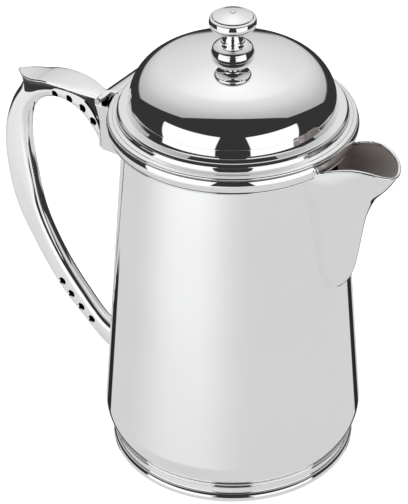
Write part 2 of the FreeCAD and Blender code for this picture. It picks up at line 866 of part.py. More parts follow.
def make_handle():
    body = new_body("handle")
    joint = -dim("handle_joint")
    web_top = dim("web_top").value
    shoulder = (GRIP_SHOULDER_X, web_top)
    end_top = (joint.value, web_top)
    # the grip, a flat C whose back and inside are smooth curves
    side = new_sketch(body, "GripOutline", "XZ_Plane")
    side.addGeometry(smooth_curve(GRIP_BACK), False)
    side.addGeometry(straight(GRIP_BACK[-1], shoulder), False)
    side.addGeometry(straight(shoulder, end_top), False)
    side.addGeometry(straight(end_top, GRIP_INSIDE[0]), False)
    side.addGeometry(smooth_curve(GRIP_INSIDE), False)
    side.addGeometry(straight(GRIP_INSIDE[-1], GRIP_BACK[0]), False)
    for geometry in range(side.GeometryCount):
        side.addConstraint(Sketcher.Constraint("Block", geometry))
    grip = padded(body, "Grip", side, dim("grip_width"))
    doc.recompute()
    rounding = body.newObject("PartDesign::Fillet", "BackRounding")
    rounding.Base = (grip, back_edges(body.Shape))
    rounding.Radius = dim("grip_round").value
    rounding.setExpression("Radius", dim("grip_round").formula)
    doc.recompute()
    # the thumb plate, pointed at the back, flares out of the grip
    half_web = dim("grip_width") / 2
    end = -dim("thumb_end")
    half_root = half_web - dim("thumb_root_inset")
    low_plate = outline(
        new_sketch(body, "PlateLowOutline", "XY_Plane", dim("thumb_root_height")),
        [
            (joint, -half_root),
            (joint, half_root),
            (end, half_root),
            (-dim("thumb_root_tip"), 0, dim("thumb_root_curve"), 1),
            (end, -half_root, dim("thumb_root_curve"), 1),
        ],
    )
    half_end = dim("thumb_end_width") / 2
    high_plate = outline(
        new_sketch(body, "PlateHighOutline", "XY_Plane", dim("bracket_top")),
        [
            (joint, -half_web),
            (joint, half_web),
            (end, half_end),
            (-dim("thumb_tip"), 0, dim("thumb_side_curve"), 1),
            (end, -half_end, dim("thumb_side_curve"), 1),
        ],
    )
    plate = body.newObject("PartDesign::AdditiveLoft", "ThumbPlate")
    plate.Profile = low_plate
    plate.Sections = [high_plate]
    plate.Ruled = True
    # its top is gently arched
    past_tip = -dim("thumb_tip") - 1
    above = dim("bracket_top") + 4
    top = outline(
        new_sketch(body, "CrownOutline", "XZ_Plane"),
        [
            (past_tip, dim("thumb_tip_height")),
            (joint, dim("handle_joint_top"), dim("thumb_crown_curve"), -1),
            (joint + 1, dim("handle_joint_top")),
            (joint + 1, above),
            (past_tip, above),
        ],
    )
    pocketed(body, "Crown", top, WELL_CLEAR)
    cut_inside_body(body, "BodyClearance", dim("pad_metal"))
    for name, centres in (("UpperVents", UPPER_VENTS), ("LowerVents", LOWER_VENTS)):
        vents = new_sketch(body, name + "Outline", "XZ_Plane")
        for centre in centres:
            disc(vents, centre, dim("vent_radius"))
        pocketed(body, name, vents, WELL_CLEAR)
    return body


handle = make_handle()


def make_handle_pad():
    body = new_body("handle_pad")
    half = dim("pad_width") / 2
    low = dim("pad_low")
    top = dim("pad_top")
    corner = dim("pad_corner")
    face = outline(
        new_sketch(body, "PadOutline", "YZ_Plane"),
        [
            (-half + corner, low, corner, 1),
            (half - corner, low),
            (half, low + corner, corner, 1),
            (half, top - corner),
            (half - corner, top, corner, 1),
            (-half + corner, top),
            (-half, top - corner, corner, 1),
            (-half, low + corner),
        ],
    )
    padded(body, "Pad", face, dim("handle_joint"), middle=False, reverse=True)
    cut_inside_body(body, "BodyClearance")
    beyond = dim("thumb_tip")
    outside = body_surface(-dim("pad_metal")) + [(beyond, neck_height), (beyond, foot_height)]
    turned(body, "Outside", outside, "PartDesign::Groove")
    return body


handle_pad = make_handle_pad()


def check_and_export(nodes):
    doc.recompute()
    for item in doc.Objects:
        if "Invalid" in item.State or "Error" in item.State:
            raise RuntimeError("%s failed: %s" % (item.Label, item.State))
    os.makedirs("parts", exist_ok=True)
    for node in nodes:
        shape = node.Shape
        if shape.isNull() or not shape.isValid() or not shape.Solids:
            raise RuntimeError("%s has no sound solid" % node.Label)
        box = shape.optimalBoundingBox(False)
        print("%-16s solids %d volume %8.0f  x %.1f %.1f y %.1f %.1f z %.1f %.1f" % (
            node.Label, len(shape.Solids), shape.Volume,
            box.XMin, box.XMax, box.YMin, box.YMax, box.ZMin, box.ZMax))
        shape.exportStep("parts/%s.step" % node.Label)


check_and_export([
    body_shell, base_disc, foot_ring, rim_collar, lid_rim, lid_bezel, lid_dome,
    finial, finial_stud, finial_washer, finial_nut, lid_hinge_leaf, hinge_pin, spout, spout_lip,
    handle_bracket, handle, handle_pad,
])
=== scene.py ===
import json
import math

import bmesh
import bpy
from mathutils import Matrix, Vector


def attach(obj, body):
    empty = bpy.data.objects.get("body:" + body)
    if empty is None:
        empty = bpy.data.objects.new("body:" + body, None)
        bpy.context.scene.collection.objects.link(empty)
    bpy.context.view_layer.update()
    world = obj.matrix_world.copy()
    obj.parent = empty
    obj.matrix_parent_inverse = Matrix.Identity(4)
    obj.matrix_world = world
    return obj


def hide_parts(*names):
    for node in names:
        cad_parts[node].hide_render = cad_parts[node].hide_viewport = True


# Hot water jug: the visible pieces in polished plate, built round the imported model. Lengths are in
# millimetres until a mesh is made. +Z is up, the spout points to +X and the handle to -X.

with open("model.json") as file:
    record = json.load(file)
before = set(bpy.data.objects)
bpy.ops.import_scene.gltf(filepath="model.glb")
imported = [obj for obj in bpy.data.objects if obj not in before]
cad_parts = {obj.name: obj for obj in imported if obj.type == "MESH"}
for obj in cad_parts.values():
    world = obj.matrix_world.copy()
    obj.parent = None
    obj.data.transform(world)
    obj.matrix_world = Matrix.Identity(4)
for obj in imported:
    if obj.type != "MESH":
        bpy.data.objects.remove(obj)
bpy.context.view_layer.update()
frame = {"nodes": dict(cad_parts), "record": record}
MM = 0.001
scene = bpy.context.scene

# Outlines

ARC_STEP = math.radians(4.0)


def arc_points(start, end, radius, turn):
    """Points after start along the short arc to end; turn is 1 for anticlockwise, -1 for clockwise."""
    (x0, y0), (x1, y1) = start, end
    chord = math.hypot(x1 - x0, y1 - y0)
    height = math.sqrt(max(radius ** 2 - (chord / 2) ** 2, 0.0)) * turn
    cx = (x0 + x1) / 2 - (y1 - y0) / chord * height
    cy = (y0 + y1) / 2 + (x1 - x0) / chord * height
    first = math.atan2(y0 - cy, x0 - cx)
    sweep = math.asin(min(chord / 2 / radius, 1.0)) * 2 * turn
    count = max(2, math.ceil(abs(sweep) / ARC_STEP))
    angles = [first + sweep * step / count for step in range(1, count + 1)]
    return [(cx + radius * math.cos(angle), cy + radius * math.sin(angle)) for angle in angles]


def outline(path):
    """Points along a path of corners (x, y) and arcs (x, y, radius, turn) from the corner before."""
    points = [path[0][:2]]
    for corner in path[1:]:
        if len(corner) == 2:
            points.append(corner)
        else:
            points += arc_points(points[-1], corner[:2], corner[2], corner[3])
    return points


def eased(points, radius):
    """Rounds every sharp corner of a closed outline, as polishing does."""
    done = []
    count = len(points)
    for number, point in enumerate(points):
        here = Vector(point)
        before = Vector(points[number - 1]) - here
        after = Vector(points[(number + 1) % count]) - here
        if before.length < 1e-6 or after.length < 1e-6:
            continue
        turn = math.pi - before.angle(after)
        if turn < math.radians(18) or point[0] < 1e-6:
            done.append(point)
            continue
        reach = min(radius * math.tan(turn / 2), before.length * 0.45, after.length * 0.45)
        start = here + before.normalized() * reach
        end = here + after.normalized() * reach
        steps = 5
        for step in range(steps + 1):
            t = step / steps
            bent = start * (1 - t) ** 2 + here * 2 * t * (1 - t) + end * t ** 2
            done.append(tuple(bent))
    return done


def held(points):
    """Adds points on each straight run between sharp corners, so that its shading stays flat."""
    done = []
    count = len(points)
    places = [Vector(point) for point in points]
    turns = []
    for number, here in enumerate(places):
        before = here - places[number - 1]
        after = places[(number + 1) % count] - here
        turns.append(before.angle(after) if before.length > 1e-6 and after.length > 1e-6 else 0.0)
    for number, here in enumerate(places):
        following = (number + 1) % count
        ahead = places[following] - here
        done.append(tuple(here))
        if min(turns[number], turns[following]) > math.radians(18) and ahead.length > 1.0:
            done += [tuple(here + ahead * 0.12), tuple(here + ahead * 0.88)]
    return done


def smooth_line(points, count):
    """Evenly numbered points on a smooth curve through a few given ones."""
    ends = [Vector(p) for p in points]
    ends = [ends[0] * 2 - ends[1]] + ends + [ends[-1] * 2 - ends[-2]]
    spans = len(points) - 1
    knots = [0.0]
    for first, second in zip(ends, ends[1:]):
        knots.append(knots[-1] + max((second - first).length, 1e-9) ** 0.5)
    made = []
    for number in range(count):
        place = knots[1] + (knots[spans + 1] - knots[1]) * number / (count - 1)
        span = 1
        while span < spans and place > knots[span + 1]:
            span += 1
        k0, k1, k2, k3 = knots[span - 1:span + 3]
        p0, p1, p2, p3 = ends[span - 1:span + 3]
        a1 = p0 * ((k1 - place) / (k1 - k0)) + p1 * ((place - k0) / (k1 - k0))
        a2 = p1 * ((k2 - place) / (k2 - k1)) + p2 * ((place - k1) / (k2 - k1))
        a3 = p2 * ((k3 - place) / (k3 - k2)) + p3 * ((place - k2) / (k3 - k2))
        b1 = a1 * ((k2 - place) / (k2 - k0)) + a2 * ((place - k0) / (k2 - k0))
        b2 = a2 * ((k3 - place) / (k3 - k1)) + a3 * ((place - k1) / (k3 - k1))
        made.append(b1 * ((k2 - place) / (k2 - k1)) + b2 * ((place - k1) / (k2 - k1)))
    return made


def read_off(points, x):
    """The height of a line of points at x."""
    for (x0, y0), (x1, y1) in zip(points, points[1:]):
        if x0 <= x <= x1:
            return y0 + (y1 - y0) * (x - x0) / (x1 - x0)
    return points[0][1] if x < points[0][0] else points[-1][1]


# Materials


class Nodes:
    """A short way to lay out shader nodes."""

    def __init__(self, tree):
        self.tree = tree

    def add(self, kind, **settings):
        node = self.tree.nodes.new(kind)
        for name, value in settings.items():
            setattr(node, name, value)
        return node

    def feed(self, socket, source):
        if isinstance(source, (int, float)):
            socket.default_value = source
        else:
            self.tree.links.new(source, socket)

    def math(self, operation, *sources, clamp=False):
        node = self.add("ShaderNodeMath", operation=operation, use_clamp=clamp)
        for socket, source in zip(node.inputs, sources):
            self.feed(socket, source)
        return node.outputs[0]

    def smooth(self, value, low, high):
        """0 below low, 1 above high, and an even rise between."""
        node = self.add("ShaderNodeMapRange", interpolation_type="SMOOTHSTEP")
        self.feed(node.inputs["Value"], value)
        node.inputs["From Min"].default_value = low
        node.inputs["From Max"].default_value = high
        return node.outputs["Result"]

    def mix(self, factor, first, second):
        node = self.add("ShaderNodeMix", data_type="FLOAT")
        self.feed(node.inputs["Factor"], factor)
        self.feed(node.inputs["A"], first)
        self.feed(node.inputs["B"], second)
        return node.outputs["Result"]


def new_material(name):
    material = bpy.data.materials.new(name)
    material.use_nodes = True
    material.node_tree.nodes.clear()
    return material, Nodes(material.node_tree)


def plate(name, clean, worn, roughness, metal=1.0, scratch=0.02):
    """Polished plate: a silver tone with faint tarnish, fine wiping marks and a soft, uneven polish."""
    material, nodes = new_material(name)
    place = nodes.add("ShaderNodeTexCoord").outputs["Object"]
    tarnish = nodes.add("ShaderNodeTexNoise")
    tarnish.inputs["Scale"].default_value = 26.0
    tarnish.inputs["Detail"].default_value = 4.0
    nodes.feed(tarnish.inputs["Vector"], place)
    tone = nodes.add("ShaderNodeMix", data_type="RGBA")
    nodes.feed(tone.inputs["Factor"], nodes.smooth(tarnish.outputs["Fac"], 0.35, 0.75))
    tone.inputs["A"].default_value = (*clean, 1.0)
    tone.inputs["B"].default_value = (*worn, 1.0)
    # wiping marks run round the jug and are much finer across than along
    stretch = nodes.add("ShaderNodeMapping")
    stretch.inputs["Scale"].default_value = (260.0, 260.0, 5200.0)
    nodes.feed(stretch.inputs["Vector"], place)
    wipes = nodes.add("ShaderNodeTexNoise")
    wipes.inputs["Scale"].default_value = 1.0
    wipes.inputs["Detail"].default_value = 3.0
    nodes.feed(wipes.inputs["Vector"], stretch.outputs["Vector"])
    uneven = nodes.math("MULTIPLY", nodes.smooth(tarnish.outputs["Fac"], 0.3, 0.8), roughness * 0.6)
    marks = nodes.math("MULTIPLY", nodes.smooth(wipes.outputs["Fac"], 0.62, 0.8), roughness * 0.8)
    rough = nodes.math("ADD", nodes.math("ADD", uneven, marks), roughness * 0.7)
    bump = nodes.add("ShaderNodeBump")
    bump.inputs["Strength"].default_value = scratch
    bump.inputs["Distance"].default_value = 0.00002
    nodes.feed(bump.inputs["Height"], wipes.outputs["Fac"])
    shader = nodes.add("ShaderNodeBsdfPrincipled")
    shader.inputs["Metallic"].default_value = metal
    nodes.feed(shader.inputs["Base Color"], tone.outputs["Result"])
    nodes.feed(shader.inputs["Roughness"], rough)
    nodes.feed(shader.inputs["Normal"], bump.outputs["Normal"])
    output = nodes.add("ShaderNodeOutputMaterial")
    nodes.feed(output.inputs["Surface"], shader.outputs["BSDF"])
    return material


BRIGHT = plate("polished_plate", (0.966, 0.972, 0.98), (0.945, 0.948, 0.95), 0.022)
SATIN = plate("satin_plate_inside", (0.84, 0.77, 0.74), (0.62, 0.55, 0.52), 0.5, metal=0.35, scratch=0.2)
# painted shade: a near-black plate laid on the vent bores, the coves under the thumb plate and the root crease,
# where shade and dark reflections fall
PAINTED_SHADE = plate("painted_shade_dark", (0.05, 0.052, 0.052), (0.03, 0.031, 0.031), 0.14, scratch=0.1)
STEEL = plate("turned_steel", (0.72, 0.72, 0.71), (0.58, 0.57, 0.55), 0.16, scratch=0.12)

# Pieces

SHARP = math.radians(30.0)


def finish_piece(piece, node, replace=True):
    """Shades a piece, ties it to its node's body and lets it stand for the node."""
    body = next(name for name, nodes in frame["record"]["behaviour"]["bodies"].items() if node in nodes)
    piece.data.shade_smooth()
    piece.data.set_sharp_from_angle(angle=SHARP)
    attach(piece, body)
    if replace:
        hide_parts(node)
    return piece


def make_piece(name, vertices, faces, materials):
    """A mesh object from points in millimetres."""
    mesh = bpy.data.meshes.new(name)
    mesh.from_pydata([(x * MM, y * MM, z * MM) for x, y, z in vertices], [], faces)
    for material in materials:
        mesh.materials.append(material)
    mesh.validate()
    shape = bmesh.new()
    shape.from_mesh(mesh)
    bmesh.ops.recalc_face_normals(shape, faces=shape.faces)
    shape.to_mesh(mesh)
    shape.free()
    piece = bpy.data.objects.new(name, mesh)
    scene.collection.objects.link(piece)
    return piece


def lathe(points, steps=256):
    """A closed outline of radius and height, turned round the axis."""
    vertices = []
    rings = []
    for radius, height in points:
        if radius < 1e-6:
            rings.append([len(vertices)] * steps)
            vertices.append((0.0, 0.0, height))
            continue
        rings.append(list(range(len(vertices), len(vertices) + steps)))
        for step in range(steps):
            angle = math.tau * step / steps
            vertices.append((radius * math.cos(angle), radius * math.sin(angle), height))
    faces = []
    for number, ring in enumerate(rings):
        following = rings[(number + 1) % len(rings)]
        for step in range(steps):
            after = (step + 1) % steps
            corners = [ring[step], ring[after], following[after], following[step]]
            face = [corner for place, corner in enumerate(corners) if corner not in corners[:place]]
            if len(face) > 2:
                faces.append(face)
    return vertices, faces


def turned(name, node, path, material=BRIGHT, ease=0.15, steps=256):
    points = eased(held(outline(path)), ease)
    return finish_piece(make_piece(name, *lathe(points, steps), [material]), node)


def grid_faces(rows, columns, start=0, loop=False):
    """Faces of a grid of points that lie row by row; loop joins each row's ends."""
    faces = []
    for row in range(rows - 1):
        for column in range(columns if loop else columns - 1):
            after = (column + 1) % columns
            first = start + row * columns
            faces.append((first + column, first + after, first + columns + after, first + columns + column))
    return faces


def cut(piece, tool, operation="DIFFERENCE"):
    """Changes a piece by another mesh, which is then thrown away."""
    change = piece.modifiers.new("cut", "BOOLEAN")
    change.operation = operation
    change.solver = "EXACT"
    change.object = tool
    bpy.context.view_layer.update()
    graph = bpy.context.evaluated_depsgraph_get()
    mesh = bpy.data.meshes.new_from_object(piece.evaluated_get(graph))
    piece.modifiers.clear()
    piece.data = mesh
    bpy.data.objects.remove(tool)
    return piece


def lofted(sections):
    """A closed shape through rings of points, with flat ends."""
    count = len(sections[0])
    vertices = [point for section in sections for point in section]
    faces = grid_faces(len(sections), count, loop=True)
    last = (len(sections) - 1) * count
    return vertices, faces + [tuple(range(count)), tuple(range(last + count - 1, last - 1, -1))]


def tube(points, radius, steps=12):
    """Rings round a line of points."""
    line = [Vector(point) for point in points]
    sections = []
    side = Vector((0.0, 0.0, 1.0))
    for number, place in enumerate(line):
        ahead = line[min(number + 1, len(line) - 1)] - line[max(number - 1, 0)]
        ahead.normalize()
        side = (side - ahead * side.dot(ahead)).normalized()
        across = ahead.cross(side)
        ring = []
        for step in range(steps):
            angle = math.tau * step / steps
            ring.append(tuple(place + (side * math.cos(angle) + across * math.sin(angle)) * radius))
        sections.append(ring)
    return sections


# Body

WALL = 1.2
RIM_Z = 160.0
FOOT_Z = 10.0
NECK_R = 45.0
NECK_Z = 152.0
BELLY_R = 55.8
BELLY_Z = 20.0
BELLY_CURVE = 15.7
BODY_FOOT_R = 53.2
SHELL_TOP = RIM_Z - 0.6


def body_radius(height):
    return NECK_R + (NECK_Z - height) * (BELLY_R - NECK_R) / (NECK_Z - BELLY_Z)


def make_body():
    points = eased(outline([
        (BODY_FOOT_R, FOOT_Z),
        (BELLY_R, BELLY_Z, BELLY_CURVE, 1),
        (NECK_R, NECK_Z),
        (NECK_R, SHELL_TOP),
        (NECK_R - WALL, SHELL_TOP),
        (NECK_R - WALL, NECK_Z),
        (BELLY_R - WALL, BELLY_Z),
        (BODY_FOOT_R - WALL, FOOT_Z, BELLY_CURVE - WALL, -1),
    ]), 0.1)
    piece = make_piece("jug_body", *lathe(points, 320), [BRIGHT])
    # the pouring slot behind the spout
    slot = [(-4.5, 112.0), *outline([(-4.5, 112.0), (4.5, 112.0, 5.2, 1), (9.5, 150.0), (-9.5, 150.0)])[1:]]
    vertices = [(30.0, y, z) for y, z in slot] + [(70.0, y, z) for y, z in slot]
    count = len(slot)
    faces = grid_faces(2, count, loop=True) + [tuple(range(count)), tuple(range(2 * count - 1, count - 1, -1))]
    cut(piece, make_piece("slot_tool", vertices, faces, [BRIGHT]))
    return finish_piece(piece, "body_shell")


make_body()

BASE_LOW = FOOT_Z - 1.9
turned("jug_base", "base_disc", [
    (0.0, 9.6), (46.0, 9.6), (48.0, BASE_LOW), (52.4, BASE_LOW), (53.2, 8.9), (53.5, 9.4, 0.5, 1),
    (53.3, FOOT_Z, 0.5, 1), (48.0, FOOT_Z), (46.0, 10.8), (0.0, 10.8),
], ease=0.08)
turned("jug_foot", "foot_ring", [
    (50.3, 0.0), (53.2, 0.0), (53.2, 1.3), (52.2, 3.3, 2.4, 1), (51.9, 4.2, 0.8, -1), (51.8, 6.5),
    (52.5, 6.8), (52.9, 7.3, 0.5, 1), (52.5, 7.8, 0.5, 1), (52.4, BASE_LOW), (50.3, BASE_LOW),
], ease=0.12)
turned("jug_collar", "rim_collar", [
    (NECK_R, 152.6), (49.5, 153.2), (50.05, 153.6, 0.4, 1), (49.85, 154.1, 0.4, 1),
    (50.7, RIM_Z, 4.9, 1), (NECK_R - WALL, RIM_Z), (NECK_R - WALL, SHELL_TOP), (NECK_R, SHELL_TOP),
], ease=0.2)

# Lid

SEAT_Z = RIM_Z + 0.1
LID_METAL = 1.0
BEZEL_FLANGE_R = 46.4
DOME_R = 42.2
DOME_Z = RIM_Z + 6.8
DOME_RISE = 21.3
DOME_SHOULDER = 18.0
APEX_Z = DOME_Z + DOME_RISE

turned("lid_rim_moulding", "lid_rim", [
    (BEZEL_FLANGE_R, SEAT_Z),
    (50.5, SEAT_Z),
    (50.6, RIM_Z + 0.5),
    (50.0, RIM_Z + 1.2, 0.75, 1),
    (48.8, RIM_Z + 1.3),
    (48.5, RIM_Z + 1.6, 0.35, 1),
    (47.7, RIM_Z + 1.7),
    (47.15, RIM_Z + 1.9),
    (47.0, RIM_Z + 2.3),
    (46.95, RIM_Z + 3.4),
    (46.6, RIM_Z + 4.15, 1.2, 1),
    (46.2, RIM_Z + 4.75),
    (45.7, RIM_Z + 5.0, 0.6, 1),
    (42.65, RIM_Z + 4.9),
    (DOME_R - 0.07, DOME_Z + 1.9),
    (DOME_R - 0.6, DOME_Z + 1.6),
    (DOME_R - LID_METAL, RIM_Z + 4.6),
    (42.6, RIM_Z + 3.8),
    (45.0, RIM_Z + 4.0),
    (45.6, RIM_Z + 3.4),
    (45.6, SEAT_Z + LID_METAL),
    (BEZEL_FLANGE_R, SEAT_Z + LID_METAL),
], ease=0.12)
turned("lid_bezel_sleeve", "lid_bezel", [
    (41.5, RIM_Z - 4.2), (42.3, RIM_Z - 4.2), (42.3, SEAT_Z), (BEZEL_FLANGE_R, SEAT_Z),
    (BEZEL_FLANGE_R, SEAT_Z + LID_METAL), (41.5, SEAT_Z + LID_METAL),
])

reach = DOME_R - DOME_SHOULDER
CROWN = (reach ** 2 + DOME_RISE ** 2 - DOME_SHOULDER ** 2) / ((DOME_RISE - DOME_SHOULDER) * 2)
CROWN_Z = APEX_Z - CROWN


def dome_corner(inset):
    """Where the dome's shoulder arc meets its crown arc."""
    run = CROWN - DOME_SHOULDER
    radius = DOME_SHOULDER - inset
    return reach + reach / run * radius, DOME_Z + (DOME_Z - CROWN_Z) / run * radius


def crown_height(radius, inset=0.0):
    return CROWN_Z + math.sqrt((CROWN - inset) ** 2 - radius ** 2)


STUD_R = 2.0
STUD_HOLE_R = 2.1
turned("lid_dome_cover", "lid_dome", [
    (DOME_R, DOME_Z),
    (*dome_corner(0.0), DOME_SHOULDER, 1),
    (STUD_HOLE_R, crown_height(STUD_HOLE_R), CROWN, 1),
    (STUD_HOLE_R, crown_height(STUD_HOLE_R, LID_METAL)),
    (*dome_corner(LID_METAL), CROWN - LID_METAL, -1),
    (DOME_R - LID_METAL, DOME_Z, DOME_SHOULDER - LID_METAL, -1),
], ease=0.1, steps=320)

# Finial

FINIAL_R = 8.7
FINIAL_Z = crown_height(FINIAL_R)
turned("finial_knob", "finial", [
    (STUD_R, crown_height(STUD_R)),
    (FINIAL_R, FINIAL_Z, CROWN, -1),
    (8.8, FINIAL_Z + 1.2),
    (8.3, FINIAL_Z + 3.0, 5.0, 1),
    (7.3, FINIAL_Z + 4.4, 2.2, 1),
    (5.0, FINIAL_Z + 5.7, 6.0, 1),
    (4.7, FINIAL_Z + 5.9),
    (4.6, FINIAL_Z + 6.5),
    (4.2, FINIAL_Z + 6.7),
    (3.8, FINIAL_Z + 8.5, 6.0, -1),
    (4.1, FINIAL_Z + 9.6),
    (8.5, FINIAL_Z + 12.2, 7.6, -1),
    (9.5, FINIAL_Z + 13.9, 2.2, 1),
    (9.3, FINIAL_Z + 16.1, 7.0, 1),
    (8.7, FINIAL_Z + 16.7, 0.8, 1),
    (8.3, FINIAL_Z + 16.8),
    (8.1, FINIAL_Z + 17.2),
    (7.7, FINIAL_Z + 17.4, 0.5, 1),
    (1.3, FINIAL_Z + 18.7, 26.0, 1),
    (0.0, FINIAL_Z + 19.4, 1.557, 1),
    (0.0, FINIAL_Z + 9.0),
    (STUD_R, FINIAL_Z + 9.0),
], ease=0.12, steps=128)

# Spout

# Level sections of the beak: height, half width where it meets the body, reach of its keel.
SPOUT_SECTIONS = (
    (94.0, 2.6, 51.0), (98.0, 4.9, 54.8), (104.0, 6.6, 58.0), (113.0, 7.5, 60.0), (123.0, 8.9, 61.4),
    (133.0, 10.6, 63.2), (142.0, 13.1, 66.9), (150.0, 14.6, 72.9), (157.0, 14.9, 76.9), (162.0, 14.9, 78.6),
)
SPOUT_WALL = 1.1
BRIM = outline([(36.0, 152.6), (NECK_R, 152.6), (63.5, 160.9, 36.0, -1), (80.0, 152.9, 19.0, -1)])
SPOUT_LINES = smooth_line(SPOUT_SECTIONS, 200)


def spout_level(height):
    """The beak's half width and reach at a height."""
    line = [(point.x, point.y) for point in SPOUT_LINES]
    keel = [(point.x, point.z) for point in SPOUT_LINES]
    return read_off(line, height), read_off(keel, height)


def spout_point(height, turn, inset):
    """A point of the beak; turn runs from -90 to 90 degrees round its nose, and further to the body."""
    half, keel = spout_level(height)
    root = body_radius(height) - 1.5
    half -= inset
    depth = keel - inset - root
    if abs(turn) <= 90.0:
        angle = math.radians(turn)
        return root + depth * math.cos(angle), half * math.sin(angle)
    side = math.copysign(half, turn)
    wall_x = math.sqrt(max((body_radius(height) - WALL / 2) ** 2 - half ** 2, 0.0))
    share = (abs(turn) - 90.0) / 30.0
    return root + (min(wall_x, root) - root) * share, side


def brim_level(turn, inset):
    """The height at which the beak's surface meets its brim, for one turn."""
    low, high = 150.0, 161.9
    for _ in range(30):
        middle = (low + high) / 2
        x, _y = spout_point(middle, turn, inset)
        if middle < read_off(BRIM, x):
            low = middle
        else:
            high = middle
    return low


def make_spout():
    turns = [-120, -110, -100] + [-90 + 3 * step for step in range(61)] + [100, 110, 120]
    rows = 70
    start = SPOUT_SECTIONS[0][0] + 0.2
    vertices = []
    for inset in (0.0, SPOUT_WALL):
        tops = [brim_level(turn, inset) for turn in turns]
        for row in range(rows):
            share = row / (rows - 1)
            for turn, top in zip(turns, tops):
                height = start + (top - start) * share
                vertices.append((*spout_point(height, turn, inset), height))
    columns = len(turns)
    inner = rows * columns
    faces = grid_faces(rows, columns) + grid_faces(rows, columns, start=inner)
    outside_count = (rows - 1) * (columns - 1)
    for column in range(columns - 1):
        for row in (0, (rows - 1)):
            first = row * columns + column
            faces.append((first, first + 1, inner + first + 1, inner + first))
    for row in range(rows - 1):
        for column in (0, columns - 1):
            first = row * columns + column
            faces.append((first, first + columns, inner + first + columns, inner + first))
    piece = make_piece("spout_beak", vertices, faces, [BRIGHT, SATIN])
    for number, face in enumerate(piece.data.polygons):
        if outside_count <= number < outside_count * 2:
            face.material_index = 1
    return finish_piece(piece, "spout")


make_spout()


def make_spout_lip():
    """The rolled edge along the brim."""
    line = []
    for turn in range(-96, 97, 3):
        level = brim_level(turn, SPOUT_WALL / 2)
        line.append((*spout_point(level, turn, SPOUT_WALL / 2), level - 0.2))
    piece = make_piece("spout_rolled_lip", *lofted(tube(line, 0.7)), [BRIGHT])
    return finish_piece(piece, "spout_lip")


make_spout_lip()


def make_spout_seam(name, side):
    """The solder line where one flank of the beak meets the body."""
    line = []
    for step in range(60):
        height = 96.5 + 54.0 * step / 59
        half = spout_level(height)[0]
        line.append((math.sqrt(body_radius(height) ** 2 - half ** 2), half * side, height))
    piece = make_piece(name, *lofted(tube(line, 0.25)), [BRIGHT])
    return finish_piece(piece, "spout", replace=False)


make_spout_seam("spout_seam_near", -1)
make_spout_seam("spout_seam_far", 1)

# Handle

# Side views of the grip's back and inside: distance from the axis, height.
GRIP_BACK = (
    (-54.0, 13.6), (-67.2, 18.2), (-79.6, 28.6), (-93.4, 42.4), (-107.9, 64.3),
    (-115.2, 79.6), (-119.0, 99.0), (-118.6, 117.0), (-113.6, 132.8), (-107.6, 142.5),
)
GRIP_INSIDE = (
    (-66.0, 125.0), (-70.2, 131.4), (-76.8, 137.9), (-86.8, 140.7), (-97.2, 137.4),
    (-104.4, 128.6), (-106.4, 115.0), (-104.3, 96.0), (-100.3, 77.1), (-89.9, 56.9),
    (-78.5, 42.2), (-68.0, 31.6), (-54.0, 25.8),
)
UPPER_VENTS = ((-89.1, 142.6), (-81.4, 142.8), (-74.4, 140.6), (-69.0, 135.9))
LOWER_VENTS = ((-90.6, 44.6), (-85.8, 39.4), (-80.4, 34.3), (-74.8, 29.6))
VENT_R = 1.65
HALF_WEB = 3.7
WEB_TOP = 147.2
PAD_METAL = 1.4


def vent_tool(centre):
    """A cutter for a vent: a bore that opens out a little at both faces."""
    sections = []
    levels = ((-6.0, 3.3), (-HALF_WEB, 2.0), (-3.2, VENT_R), (3.2, VENT_R), (HALF_WEB, 2.0), (6.0, 3.3))
    for place, radius in levels:
        ring = []
        for step in range(32):
            angle = math.tau * step / 32
            ring.append((centre[0] + radius * math.cos(angle), place, centre[1] + radius * math.sin(angle)))
        sections.append(ring)
    return make_piece("vent_tool", *lofted(sections), [BRIGHT])


def make_grip():
    back = [tuple(point) for point in smooth_line(GRIP_BACK, 90)]
    inside = [tuple(point) for point in smooth_line(GRIP_INSIDE, 110)]
    side_view = back + [(-104.0, WEB_TOP), (-66.0, WEB_TOP)] + inside
    count = len(side_view)
    sections = [[(x, y, z) for x, z in side_view] for y in (-HALF_WEB, HALF_WEB)]
    piece = make_piece("handle_grip", *lofted(sections), [BRIGHT, PAINTED_SHADE])
    shape = bmesh.new()
    shape.from_mesh(piece.data)
    shape.verts.ensure_lookup_table()
    runs = []
    for numbers in (range(len(back) - 1), range(len(back) + 2, count - 1)):
        pairs = [(start + number, start + number + 1) for number in numbers for start in (0, count)]
        runs.append([shape.edges.get([shape.verts[number] for number in pair]) for pair in pairs])
    for edges, width in zip(runs, (2.4, 3.3)):
        bmesh.ops.bevel(
            shape, geom=edges, offset=width * MM, segments=10, profile=0.5, affect="EDGES", clamp_overlap=False,
        )
    shape.to_mesh(piece.data)
    shape.free()
    clear = outline([
        (0.0, 4.0), (BODY_FOOT_R + PAD_METAL, 4.0), (BODY_FOOT_R + PAD_METAL, FOOT_Z),
        (BELLY_R + PAD_METAL, BELLY_Z, BELLY_CURVE + PAD_METAL, 1), (NECK_R + PAD_METAL, NECK_Z), (0.0, NECK_Z),
    ])
    cut(piece, make_piece("clearance_tool", *lathe(clear, 180), [BRIGHT]))
    for centre in UPPER_VENTS + LOWER_VENTS:
        cut(piece, vent_tool(centre))
    # painted shade: the bores are painted near black
    for face in piece.data.polygons:
        middle = face.center / MM
        for centre in UPPER_VENTS + LOWER_VENTS:
            if abs(middle.y) < 3.2 and math.hypot(middle.x - centre[0], middle.z - centre[1]) < VENT_R + 0.05:
                face.material_index = 1
    return finish_piece(piece, "handle")


make_grip()

